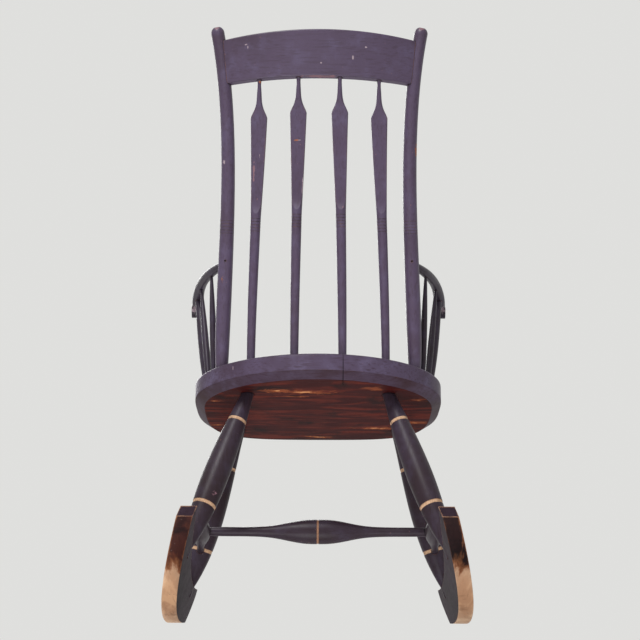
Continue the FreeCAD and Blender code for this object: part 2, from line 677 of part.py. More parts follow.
def underframe(nodes, seat_cutters):
    """Legs, stretchers and rockers."""
    rear_line = leg_line(SEAT_HALF_WIDTH - REAR_LEG_INSET, REAR_LEG_TOP_Y, REAR_FOOT_Y)
    front_line = leg_line(SEAT_HALF_WIDTH - FRONT_LEG_INSET, FRONT_LEG_TOP_Y, FRONT_FOOT_Y)
    rear_joint = point_at_height(rear_line, STRETCHER_Z)
    front_joint = point_at_height(front_line, STRETCHER_Z)
    side = side_stretcher(rear_joint, front_joint)
    reach = unit(front_joint - rear_joint)
    share = rear_joint.y / (rear_joint.y - front_joint.y)
    crossing = rear_joint + (front_joint - rear_joint) * share
    rocker = left_rocker()
    pairs = {}
    for name, line, joint, inward, rings_at in (
        ("rear_leg", rear_line, rear_joint, reach * -1, REAR_LEG_RINGS_AT),
        ("front_leg", front_line, front_joint, reach, FRONT_LEG_RINGS_AT),
    ):
        top, foot = line
        axis = unit(foot - top)
        seat_cutters.append(socket(top, axis * -1, LEG_TOP_RADIUS, SEAT_SOCKET_DEPTH))
        rocker = rocker.cut(socket(foot, axis, LEG_FOOT_RADIUS, ROCKER_SOCKET_DEPTH))
        mouth = joint - inward * STRETCHER_TENON
        bore = socket(mouth, inward, SIDE_STRETCHER_END_RADIUS, STRETCHER_TENON)
        pairs[name] = leg(line, rings_at).cut(bore)
    mouth = crossing - AXIS_X * STRETCHER_TENON
    pairs["side_stretcher"] = side.cut(socket(mouth, AXIS_X, MEDIAL_STRETCHER_END_RADIUS, STRETCHER_TENON))
    pairs["rocker"] = rocker
    for name, shape in pairs.items():
        nodes[name + "_left"] = shape
        nodes[name + "_right"] = mirrored(shape)
    nodes["medial_stretcher"] = medial_stretcher(crossing.x)


def back(nodes, seat_cutters):
    """Posts, crest rail and arrow spindles."""
    curve = post_curve()
    post = left_post(curve)
    foot = curve.value(0.0)
    down = unit(curve.tangent(0.0)[0]) * -1
    seat_cutters.append(socket(foot, down, POST_FOOT_RADIUS, SEAT_SOCKET_DEPTH))
    rail = crest_rail((post, mirrored(post))).fuse(crest_tenon(0.0)).removeSplitter()
    mortised = post.cut(crest_tenon(FIT_CLEARANCE))
    for index in range(len(SPINDLE_FEET)):
        line = spindle_curve(index)
        spindle = arrow_spindle(line, SPINDLE_BLADE_TO[index])
        start = unit(line.tangent(0.0)[0])
        finish = unit(line.tangent(1.0)[0])
        seat_cutters.append(socket(line.value(0.0), start * -1, SPINDLE_FOOT_WIDTH / 2, SEAT_SOCKET_DEPTH))
        bore = socket(line.value(1.0), finish, SPINDLE_NECK_WIDTH / 2, CREST_SOCKET_DEPTH)
        rail = rail.cut([bore, mirrored(bore)])
        place = "inner" if index == 0 else "outer"
        nodes["back_spindle_" + place + "_left"] = spindle
        nodes["back_spindle_" + place + "_right"] = mirrored(spindle)
    nodes["crest_rail"] = rail
    return curve, mortised


def arms(nodes, seat_cutters, curve, post):
    """Arms, their supports and the pins that hold them to the posts."""
    root = on_post(curve, SEAT_TOP + ARM_ABOVE_SEAT)
    line = arm_curve(root)
    arm_cutters = []
    pieces = arm_supports(line, seat_cutters, arm_cutters)
    pieces["arm"] = left_arm(line, post).cut(arm_cutters)
    heading = unit(line.tangent(0.0)[0])
    mouth = root + heading * POST_ARM_RADIUS
    post = post.cut(socket(mouth, heading * -1, ARM_ROOT_DIAMETER / 2, POST_ARM_RADIUS))
    entry, inward = arm_pin_seat(root)
    bore = socket(entry, inward, ARM_PIN_RADIUS, ARM_PIN_RECESS + ARM_PIN_LENGTH)
    pieces["arm"] = pieces["arm"].cut(bore)
    pieces["back_post"] = post.cut(bore)
    pieces["arm_pin"] = rod(entry + inward * ARM_PIN_RECESS, inward, ARM_PIN_RADIUS, ARM_PIN_LENGTH)
    for name, shape in pieces.items():
        nodes[name + "_left"] = shape
        nodes[name + "_right"] = mirrored(shape)


def chair():
    """Every piece of the chair, by node name, with the seat level."""
    nodes = {}
    seat_cutters = []
    underframe(nodes, seat_cutters)
    curve, post = back(nodes, seat_cutters)
    arms(nodes, seat_cutters, curve, post)
    nodes["seat_plank"] = seat_blank().cut(both_sides(seat_cutters))
    return nodes


def mass_centre(nodes):
    """Centre of mass of the whole chair, all of one timber."""
    total = sum(shape.Volume for shape in nodes.values())
    centre = FreeCAD.Vector(0, 0, 0)
    for shape in nodes.values():
        for solid in shape.Solids:
            centre += solid.CenterOfMass * (solid.Volume / total)
    return centre


def at_rest(nodes):
    """Rolls the chair back until its mass hangs below the treads' axis, then centres its footprint."""
    centre = mass_centre(nodes)
    axle = FreeCAD.Vector(0, TREAD_CENTRE_Y, TREAD_RADIUS)
    angle = math.degrees(math.atan2(centre.y - axle.y, axle.z - centre.z))
    for shape in nodes.values():
        shape.rotate(axle, AXIS_X, -angle)
    box = Part.makeCompound(list(nodes.values())).optimalBoundingBox(False)
    shift = FreeCAD.Vector(0, -(box.YMin + box.YMax) / 2, -box.ZMin)
    for shape in nodes.values():
        shape.translate(shift)
    print("rolled back by", round(angle, 2), "degrees, mass centre", centre)
    print("moved by", shift, "size", box.XLength, box.YLength, box.ZLength)
    return nodes


def main():
    """Builds the chair and writes one STEP file for each piece."""
    os.makedirs("parts", exist_ok=True)
    for name, shape in sorted(at_rest(chair()).items()):
        print(name, len(shape.Solids), shape.isValid(), round(shape.Volume))
        shape.exportStep("parts/" + name + ".step")


main()
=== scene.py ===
"""Worn aubergine finishes, studio and camera for an arrow-back rocking chair."""

import logging
import math
from dataclasses import dataclass, replace
from enum import Enum
from typing import Union

import bpy
from mathutils import Matrix, Vector

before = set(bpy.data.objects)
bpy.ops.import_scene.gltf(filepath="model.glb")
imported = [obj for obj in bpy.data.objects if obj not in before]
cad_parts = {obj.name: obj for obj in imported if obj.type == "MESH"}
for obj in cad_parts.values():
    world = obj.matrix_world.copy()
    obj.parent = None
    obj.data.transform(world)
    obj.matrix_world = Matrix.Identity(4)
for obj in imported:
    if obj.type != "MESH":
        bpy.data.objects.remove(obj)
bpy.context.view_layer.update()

log = logging.getLogger("rocking_chair")

Pair = tuple[float, float]
Triple = tuple[float, float, float]
Number = Union["Signal", float]
Socket = bpy.types.NodeSocket
Colour = Union[Triple, Socket]

EVEN: Triple = (1.0, 1.0, 1.0)
WHITE: Triple = (1.0, 1.0, 1.0)
NOWHERE: Triple = (0.0, 0.0, 0.0)
DOWN: Triple = (0.0, 0.0, -1.0)
REARWARD: Triple = (0.0, 1.0, 0.0)
FORWARD: Triple = (0.0, -1.0, 0.0)
SIDEWAYS: Triple = (1.0, 0.0, 0.0)
SIDES = (("left", 1), ("right", -1))

FULL_TONE = 255
SCREEN_OFFSET = 0.055
SCREEN_POWER = 2.4

MIX_SHARE, MIX_BASE, MIX_TOP = 0, 6, 7
MIX_RESULT = 2
NOISE_COLOUR = 1

NOISE_MIDDLE = 0.5
HOLLOW_SAMPLES = 12
HOLLOW_STEP: Pair = (1.0, 0.8)
EDGE_SAMPLES = 6
EASED_SAMPLES = 8
CHAFE_STEP: Pair = (0.0, 0.15)


def tone(red: int, green: int, blue: int) -> Triple:
    """A colour as it looks on screen, from 0 to 255, in the linear values of the shaders."""
    shares = (part / FULL_TONE for part in (red, green, blue))
    return tuple(((share + SCREEN_OFFSET) / (1 + SCREEN_OFFSET)) ** SCREEN_POWER for share in shares)


class Signal:
    """A number that varies over a surface. Arithmetic on it adds Math nodes."""

    def __init__(self, easel: "Easel", socket: Socket) -> None:
        """Wraps one output socket of the easel's tree."""
        self.easel = easel
        self.socket = socket

    def _math(self, operation: str, *operands: Number) -> "Signal":
        """The result of one Math node on the operands."""
        node = self.easel.node("ShaderNodeMath", {"operation": operation}, dict(enumerate(operands)))
        return Signal(self.easel, node.outputs[0])

    def __add__(self, other: Number) -> "Signal":
        """self + other."""
        return self._math("ADD", self, other)

    def __radd__(self, other: Number) -> "Signal":
        """other + self."""
        return self._math("ADD", other, self)

    def __sub__(self, other: Number) -> "Signal":
        """self - other."""
        return self._math("SUBTRACT", self, other)

    def __rsub__(self, other: Number) -> "Signal":
        """other - self."""
        return self._math("SUBTRACT", other, self)

    def __mul__(self, other: Number) -> "Signal":
        """self * other."""
        return self._math("MULTIPLY", self, other)

    def __rmul__(self, other: Number) -> "Signal":
        """other * self."""
        return self._math("MULTIPLY", other, self)

    def __abs__(self) -> "Signal":
        """The size of the signal without its sign."""
        return self._math("ABSOLUTE", self)

    def most(self, other: Number) -> "Signal":
        """The larger of the signal and another number."""
        return self._math("MAXIMUM", self, other)

    def rising(self, low: float, high: float) -> "Signal":
        """A smooth step from 0 at low to 1 at high.

        Args:
            low: Value of the signal at which the step is 0.
            high: Value at which it is 1; below low the step falls instead.

        Returns:
            The step, from 0 to 1.
        """
        flip = high < low
        limits = {"Value": self, "From Min": min(low, high), "From Max": max(low, high)}
        limits.update({"To Min": float(flip), "To Max": float(not flip)})
        node = self.easel.node("ShaderNodeMapRange", {"interpolation_type": "SMOOTHSTEP"}, limits)
        return Signal(self.easel, node.outputs[0])


class Easel:
    """The node tree of a material or the world, and the few ways in which nodes are added to it."""

    def __init__(self, owner: bpy.types.Material | bpy.types.World) -> None:
        """Empties the owner's tree and has its coordinates at hand.

        Args:
            owner: The material or world that the tree belongs to.
        """
        owner.use_nodes = True
        self.owner = owner
        self.tree = owner.node_tree
        self.tree.nodes.clear()
        self.place = self.node("ShaderNodeTexCoord").outputs["Object"]
        self.facing = self.node("ShaderNodeNewGeometry").outputs["Normal"]

    def node(self, kind: str, settings: dict | None = None, inputs: dict | None = None) -> bpy.types.Node:
        """Adds one node.

        Args:
            kind: The node's type.
            settings: Its own properties, set before its sockets.
            inputs: A value, signal or socket for each of its sockets, by name or number.

        Returns:
            The new node.
        """
        made = self.tree.nodes.new(kind)
        for name, value in (settings or {}).items():
            setattr(made, name, value)
        for name, value in (inputs or {}).items():
            source = value.socket if isinstance(value, Signal) else value
            if isinstance(source, Socket):
                self.tree.links.new(source, made.inputs[name])
            elif isinstance(source, tuple) and made.inputs[name].type == "RGBA":
                made.inputs[name].default_value = (*source, 1.0)
            else:
                made.inputs[name].default_value = source
        return made

    def mix(self, share: Number, base: Colour, top: Colour) -> Socket:
        """The base colour with a share of the top colour over it."""
        inputs = {MIX_SHARE: share, MIX_BASE: base, MIX_TOP: top}
        return self.node("ShaderNodeMix", {"data_type": "RGBA"}, inputs).outputs[MIX_RESULT]

    def vector(self, operation: str, first: Colour, second: Colour = NOWHERE) -> bpy.types.Node:
        """A Vector Math node on two vectors."""
        return self.node("ShaderNodeVectorMath", {"operation": operation}, {0: first, 1: second})

    def length(self, first: Colour) -> Signal:
        """The length of a vector."""
        return Signal(self, self.vector("LENGTH", first).outputs["Value"])

    def product(self, first: Colour, second: Colour) -> Signal:
        """The dot product of two vectors."""
        return Signal(self, self.vector("DOT_PRODUCT", first, second).outputs["Value"])

    def along(self, origin: Triple, axis: Triple) -> Signal:
        """Distance of the surface point from the origin along a unit axis, in metres."""
        return self.product(self.vector("SUBTRACT", self.place, origin).outputs[0], axis)

    def near(self, centre: Triple, reach: Triple) -> Signal:
        """1 at the centre of an ellipsoid, 0 on its surface and less outside."""
        arm = self.vector("SUBTRACT", self.place, centre).outputs[0]
        return 1.0 - self.length(self.vector("DIVIDE", arm, reach).outputs[0])

    def toward(self, axis: Triple) -> Signal:
        """How far the surface faces an axis, from -1 to 1."""
        return self.product(self.facing, axis)

    def hollows(self, reach: float) -> Signal:
        """1 at the bottom of grooves and joints, and 0 on open surface."""
        node = self.node("ShaderNodeAmbientOcclusion", {"samples": HOLLOW_SAMPLES}, {"Distance": reach})
        return Signal(self, node.outputs["AO"]).rising(*HOLLOW_STEP)

    def edges(self, radius: float) -> Signal:
        """More than 0 within a radius of an edge, and 0 on open surface."""
        eased = self.node("ShaderNodeBevel", {"samples": EDGE_SAMPLES}, {"Radius": radius}).outputs[0]
        return 1.0 - self.product(eased, self.facing)

    def close(self, shader: Socket, kind: str = "ShaderNodeOutputMaterial") -> None:
        """Joins the finished shader to the tree's output."""
        self.node(kind, None, {"Surface": shader})


@dataclass(frozen=True)
class Coat:
    """What one layer of a surface shows.

    Args:
        colour: Its colour.
        roughness: Its roughness.
        height: How far it stands proud of what is below it, in metres.
    """

    colour: Colour
    roughness: Number
    height: Number = 0.0


class Layers:
    """Coats of a surface, laid one over the other."""

    def __init__(self, easel: Easel, coat: Coat) -> None:
        """Starts from one coat that covers everything."""
        self.easel = easel
        self.coat = coat

    def lay(self, mask: Signal, coat: Coat) -> None:
        """Lays a coat where the mask is 1.

        Args:
            mask: Where the new coat shows.
            coat: The coat, whose height counts from what is below it.
        """
        below = self.coat
        colour = self.easel.mix(mask, below.colour, coat.colour)
        roughness = below.roughness + mask * (coat.roughness - below.roughness)
        self.coat = Coat(colour, roughness, below.height + mask * coat.height)

    def finish(self, eased: float, gloss: float) -> bpy.types.Material:
        """Joins the coats to a shader.

        Args:
            eased: Radius to which handling has softened every arris, in metres.
            gloss: The shader's specular level.

        Returns:
            The finished material.
        """
        easel = self.easel
        coat = self.coat
        soft = easel.node("ShaderNodeBevel", {"samples": EASED_SAMPLES}, {"Radius": eased}).outputs[0]
        relief = {"Strength": 1.0, "Distance": 1.0, "Height": coat.height, "Normal": soft}
        bump = easel.node("ShaderNodeBump", None, relief).outputs[0]
        inputs = {"Base Color": coat.colour, "Roughness": coat.roughness, "Normal": bump}
        inputs["Specular IOR Level"] = gloss
        easel.close(easel.node("ShaderNodeBsdfPrincipled", None, inputs).outputs[0])
        return easel.owner


class Grain(Enum):
    """Which way the timber and the brush ran, as waves along X, Y and Z."""

    ACROSS = (0.06, 1.0, 1.0)
    FORE = (1.0, 0.06, 1.0)
    UPRIGHT = (1.0, 1.0, 0.06)


@dataclass(frozen=True)
class Clouds:
    """Cloudy noise, and the mask that is cut from it.

    Args:
        scale: Waves in a metre.
        detail: Octaves of finer noise.
        stretch: Waves along X, Y and Z as shares of the scale.
        bend: How far the noise distorts itself.
        step: Values of the noise between which the mask rises from nothing.
        strength: The mask's highest value.
        fineness: Weight of each octave against the one before.
    """

    scale: float
    detail: float = 3.0
    stretch: Triple = EVEN
    bend: float = 0.0
    step: Pair = (0.0, 1.0)
    strength: float = 1.0
    fineness: float = 0.6

    def along(self, grain: Grain) -> "Clouds":
        """The same clouds drawn out along the grain."""
        return replace(self, stretch=grain.value)

    def waves(self, easel: Easel) -> Signal:
        """The noise itself.

        Args:
            easel: The tree that it is added to.

        Returns:
            A signal round 0.5.
        """
        spot = easel.vector("MULTIPLY", easel.place, self.stretch).outputs[0]
        inputs = {"Vector": spot, "Scale": self.scale, "Detail": self.detail}
        inputs.update({"Roughness": self.fineness, "Distortion": self.bend})
        return Signal(easel, easel.node("ShaderNodeTexNoise", None, inputs).outputs[0])

    def swing(self, easel: Easel) -> Signal:
        """The noise to either side of 0."""
        return self.waves(easel) - NOISE_MIDDLE

    def cut(self, waves: Signal) -> Signal:
        """The mask from noise that has been made already."""
        return waves.rising(*self.step) * self.strength

    def mask(self, easel: Easel) -> Signal:
        """The mask from new noise."""
        return self.cut(self.waves(easel))


@dataclass(frozen=True)
class Flecks:
    """Small separate spots.

    Args:
        scale: Cells in a metre, each of which may hold one spot.
        size: Radius of a spot, in cells.
        strength: How well a spot covers.
        coat: What a spot shows.
        core: Share of the radius inside which a spot is whole.
        stray: How far a spot's outline wanders, in cells.
        wobble: Waves of that wandering in one cell.
        sharpness: Step of chance from a cell without a spot to one with a spot.
    """

    scale: float
    size: float
    strength: float
    coat: Coat
    core: float = 0.6
    stray: float = 0.5
    wobble: float = 3.0
    sharpness: float = 0.01

    def mask(self, easel: Easel, share: float) -> Signal:
        """Where the spots are.

        Args:
            easel: The tree that they are added to.
            share: Share of the cells that hold a spot.

        Returns:
            The spots' strength inside them and 0 between them.
        """
        waves = {"Vector": easel.place, "Scale": self.scale * self.wobble}
        wander = easel.node("ShaderNodeTexNoise", None, waves).outputs[NOISE_COLOUR]
        astray = easel.vector("MULTIPLY", wander, (self.stray / self.scale,) * 3).outputs[0]
        spot = easel.vector("ADD", astray, easel.place).outputs[0]
        cells = easel.node("ShaderNodeTexVoronoi", None, {"Vector": spot, "Scale": self.scale}).outputs
        parts = easel.node("ShaderNodeSeparateColor", None, {0: cells["Color"]}).outputs
        chosen = Signal(easel, parts[0]).rising(1 - share - self.sharpness, 1 - share)
        inside = Signal(easel, cells["Distance"]).rising(self.size, self.size * self.core)
        return inside * chosen * self.strength


@dataclass(frozen=True)
class Chafe:
    """Wear along the edges of a piece.

    Args:
        radius: How far it reaches from an edge, in metres.
        clouds: Noise that breaks it up.
        spared: Value of the noise below which an edge is spared.
        gain: How strongly the noise breaks it up.
        sharp: Sharpness of an edge at which it starts, and at which it is whole.
    """

    radius: float
    clouds: Clouds
    spared: float
    gain: float
    sharp: Pair

    def mask(self, easel: Easel) -> Signal:
        """Where the edges are worn.

        Args:
            easel: The tree that the mask is added to.

        Returns:
            1 where an edge is worn through.
        """
        arris = easel.edges(self.radius)
        broken = arris + (self.clouds.waves(easel) - self.spared) * self.gain
        return broken.rising(*CHAFE_STEP) * arris.rising(*self.sharp)


class Hurt(Enum):
    """What a mark on the paint shows."""

    PALE = Coat(tone(150, 134, 142), 0.7, -0.00015)
    ORANGE = Coat(tone(146, 88, 64), 0.65, -0.0003)
    PINK = Coat(tone(122, 90, 100), 0.6, -0.0001)
    DARK = Coat(tone(20, 12, 14), 0.8, -0.0009)


@dataclass(frozen=True)
class Mark:
    """One worn or knocked place.

    Args:
        hurt: What shows there.
        centre: Its middle, in metres.
        reach: Half its size along X, Y and Z, in metres.
        ragged: How far its outline wanders, from 0 to 1.
        torn: Noise of the outline, in waves over half the mark's size.
        most: Push of the noise on the outline where ragged is 1.
        outline: Steps between which the mark fades in.
    """

    hurt: Hurt
    centre: Triple
    reach: Triple
    ragged: float
    torn: Clouds = Clouds(scale=2.4, detail=5.0, bend=0.8)
    most: float = 3.0
    outline: Pair = (0.15, 0.4)

    def lay(self, layers: Layers) -> None:
        """Lays the mark over what is there.

        Args:
            layers: The layers that it goes over.
        """
        easel = layers.easel
        wide, _, high = self.reach
        torn = replace(self.torn, scale=self.torn.scale / max(wide, high)).swing(easel)
        shape = easel.near(self.centre, self.reach) + torn * (self.most * self.ragged)
        layers.lay(shape.rising(*self.outline), self.hurt.value)

    def mirrored(self, sign: int) -> "Mark":
        """The same mark on the left side for a sign of 1, or on the right one for -1."""
        x, y, z = self.centre
        return replace(self, centre=(sign * x, y, z))


@dataclass(frozen=True)
class Band:
    """A painted ring round a turning.

    Args:
        origin: A point on the turning's axis, in metres.
        axis: The axis, of length one.
        middle: How far along the axis the ring lies.
        width: The ring's width.
        colour: Its colour.
        stain: Colour of the dirt in it.
        roughness: Its roughness.
        soft: Half the width over which its edges fade.
        thin: How well it covers where it is thinnest.
        worn: Noise that thins it.
        dirt: Noise that soils it.
    """

    origin: Triple
    axis: Triple
    middle: float
    width: float
    colour: Triple
    stain: Triple = tone(134, 98, 72)
    roughness: float = 0.6
    soft: float = 0.0003
    thin: float = 0.45
    worn: Clouds = Clouds(scale=70.0, detail=4.0, step=(0.3, 0.42), strength=0.55)
    dirt: Clouds = Clouds(scale=160.0, detail=3.0, step=(0.42, 0.7), strength=0.5)

    def lay(self, layers: Layers) -> None:
        """Lays the ring over the paint, thin in places.

        Args:
            layers: The layers that it goes over.
        """
        easel = layers.easel
        off = abs(easel.along(self.origin, self.axis) - self.middle)
        edge = self.width / 2
        ring = off.rising(edge + self.soft, edge - self.soft)
        colour = easel.mix(self.dirt.mask(easel), self.colour, self.stain)
        layers.lay(ring * (self.worn.mask(easel) + self.thin), Coat(colour, self.roughness))


@dataclass(frozen=True)
class Paint:
    """Old oil paint, dulled in patches, thin on the edges and flecked with small knocks.

    Args:
        colour: The paint's own colour.
        haze: Colour where it has dulled.
        shade: Colour in the brush marks and where it is darkest.
        wear: How far the edges are worn through, from 0 to 1.
        flecks: Share of the places for a fleck that have one.
        roughness: The paint's roughness.
        grime_and_shade: Settled dirt and painted shade in grooves and joints.
        grime_and_shade_reach: How near two faces have to be for it, in metres.
        grime_and_shade_strength: How well it covers.
        bare: What shows where an edge is worn through.
        clouds: Noise between the paint's own colour and its shade.
        patches: Noise of the dulled patches.
        strokes: Noise of the brush marks.
        patch_dulling: Change of roughness over the patches.
        stroke_dulling: Change of roughness over the brush marks.
        patch_height: Height of the patches, in metres.
        stroke_height: Height of the brush marks, in metres.
        chafe: Wear along the edges.
        spots: The small knocks.
    """

    colour: Triple = tone(76, 62, 84)
    haze: Triple = tone(90, 80, 108)
    shade: Triple = tone(60, 45, 60)
    wear: float = 0.75
    flecks: float = 0.05
    roughness: float = 0.4
    grime_and_shade: Coat = Coat(tone(30, 22, 30), 0.6)
    grime_and_shade_reach: float = 0.003
    grime_and_shade_strength: float = 0.9
    bare: Coat = Coat(tone(150, 104, 92), 0.62, -0.0001)
    clouds: Clouds = Clouds(scale=5.0, detail=3.0, step=(0.3, 0.55), strength=0.7)
    patches: Clouds = Clouds(scale=28.0, detail=4.0, step=(0.46, 0.74), strength=0.5)
    strokes: Clouds = Clouds(scale=260.0, detail=3.0, step=(0.48, 0.7), strength=0.55)
    patch_dulling: float = 0.25
    stroke_dulling: float = 0.12
    patch_height: float = 0.0003
    stroke_height: float = 0.00012
    chafe: Chafe = Chafe(0.002, Clouds(scale=40.0, detail=5.0), 0.66, 0.9, (0.012, 0.06))
    spots: tuple[Flecks, ...] = (
        Flecks(60.0, 0.06, 0.8, Coat(tone(150, 134, 142), 0.7, -0.0001)),
        Flecks(95.0, 0.1, 0.7, Coat(tone(150, 104, 92), 0.6, -0.0001)),
        Flecks(170.0, 0.16, 0.6, Coat(tone(122, 90, 100), 0.6)),
    )

    def spread(self, name: str, grain: Grain) -> Layers:
        """The painted surface with its brush marks, patches, rubbed edges and flecks.

        Args:
            name: The material's name.
            grain: Which way the timber runs.

        Returns:
            The layers, ready for bands and marks.
        """
        easel = Easel(bpy.data.materials.new(name))
        patches = self.patches.waves(easel)
        strokes = self.strokes.along(grain).waves(easel)
        body = easel.mix(self.clouds.mask(easel) + (1 - self.clouds.strength), self.shade, self.colour)
        body = easel.mix(self.patches.cut(patches), body, self.haze)
        body = easel.mix(self.strokes.cut(strokes), body, self.shade)
        dulled = (patches - NOISE_MIDDLE) * self.patch_dulling
        dulled = dulled + (strokes - NOISE_MIDDLE) * self.stroke_dulling
        height = strokes * self.stroke_height + patches * self.patch_height
        layers = Layers(easel, Coat(body, dulled + self.roughness, height))
        # Painted shade and settled dirt: a dark coat in grooves and joints, placed by ambient occlusion.
        layers.lay(easel.hollows(self.grime_and_shade_reach) * self.grime_and_shade_strength, self.grime_and_shade)
        layers.lay(self.chafe.mask(easel) * self.wear, self.bare)
        for spots in self.spots:
            layers.lay(spots.mask(easel, self.flecks), spots.coat)
        return layers


@dataclass(frozen=True)
class Timber:
    """Wood that shows through, stained, with streaks along its grain.

    Args:
        colour: The wood's own colour.
        streak: Colour of the broad bands in it.
        stain: Colour of its fibres and of the dirt on it.
        stained: How much of it is soiled, from 0 to 1.
        fibres: Noise of the fibres.
        bands: Noise of the broad bands.
        band_width: Waves of the bands across the grain, as a share of the scale.
        band_slack: Waves that are added in every direction.
        dirt: Noise of the dirt where stained is 0.
        dirt_spread: How far that noise's steps fall where stained is 1.
        roughness: The wood's roughness.
        fibre_dulling: Change of roughness over the fibres.
        fibre_height: Height of the fibres, in metres.
        depth: Depth of the wood below the paint, in metres.
    """

    colour: Triple
    streak: Triple
    stain: Triple
    stained: float
    fibres: Clouds = Clouds(scale=190.0, detail=4.0, bend=0.4, step=(0.56, 0.76), strength=0.5)
    bands: Clouds = Clouds(scale=30.0, detail=5.0, bend=1.6, step=(0.46, 0.62), strength=0.8)
    band_width: float = 0.5
    band_slack: float = 0.1
    dirt: Clouds = Clouds(scale=16.0, detail=5.0, step=(0.62, 0.86))
    dirt_spread: float = 0.3
    roughness: float = 0.66
    fibre_dulling: float = 0.2
    fibre_height: float = 0.0003
    depth: float = 0.0002

    def cover(self, layers: Layers, mask: Signal, grain: Grain) -> None:
        """Lays the timber where the mask is 1.

        Args:
            layers: What it is laid over.
            mask: Where it shows.
            grain: Which way it runs.
        """
        easel = layers.easel
        fibres = self.fibres.along(grain).waves(easel)
        stretch = tuple(self.band_width * part + self.band_slack for part in grain.value)
        steps = tuple(limit - self.stained * self.dirt_spread for limit in self.dirt.step)
        wood = easel.mix(replace(self.bands, stretch=stretch).mask(easel), self.colour, self.streak)
        wood = easel.mix(self.fibres.cut(fibres), wood, self.stain)
        wood = easel.mix(replace(self.dirt, step=steps).mask(easel), wood, self.stain)
        roughness = (fibres - NOISE_MIDDLE) * self.fibre_dulling + self.roughness
        layers.lay(mask, Coat(wood, roughness, fibres * self.fibre_height - self.depth))


def give(node: str, material: bpy.types.Material) -> None:
    """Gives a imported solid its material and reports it.

    Args:
        node: The solid's name.
        material: Its finish.
    """
    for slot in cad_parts[node].material_slots:
        slot.material = material
    log.info("dressed %s with %s", node, material.name)


@dataclass
class Stance:
    """How the chair sits back on its treads, from its drawing to the floor.

    Args:
        roll: Angle that it is rolled back by, in degrees.
        axle: Y and Z of the treads' axis in the drawing, in metres.
        shift: How far it is moved back afterwards, in metres.
    """

    roll: float = 3.59
    axle: Pair = (-0.03, 1.25)
    shift: float = 0.0215

    def turned(self, y: float, z: float) -> Pair:
        """A direction of the drawing in the chair's stance.

        Args:
            y: Its part towards the rear.
            z: Its part upwards.

        Returns:
            Both parts after the roll.
        """
        angle = math.radians(self.roll)
        cosine = math.cos(angle)
        sine = math.sin(angle)
        return y * cosine + z * sine, z * cosine - y * sine

    def put(self, point: Triple) -> Vector:
        """A point of the drawing in the chair's stance."""
        y, z = self.turned(point[1] - self.axle[0], point[2] - self.axle[1])
        return Vector((point[0], y + self.axle[0] + self.shift, z + self.axle[1]))


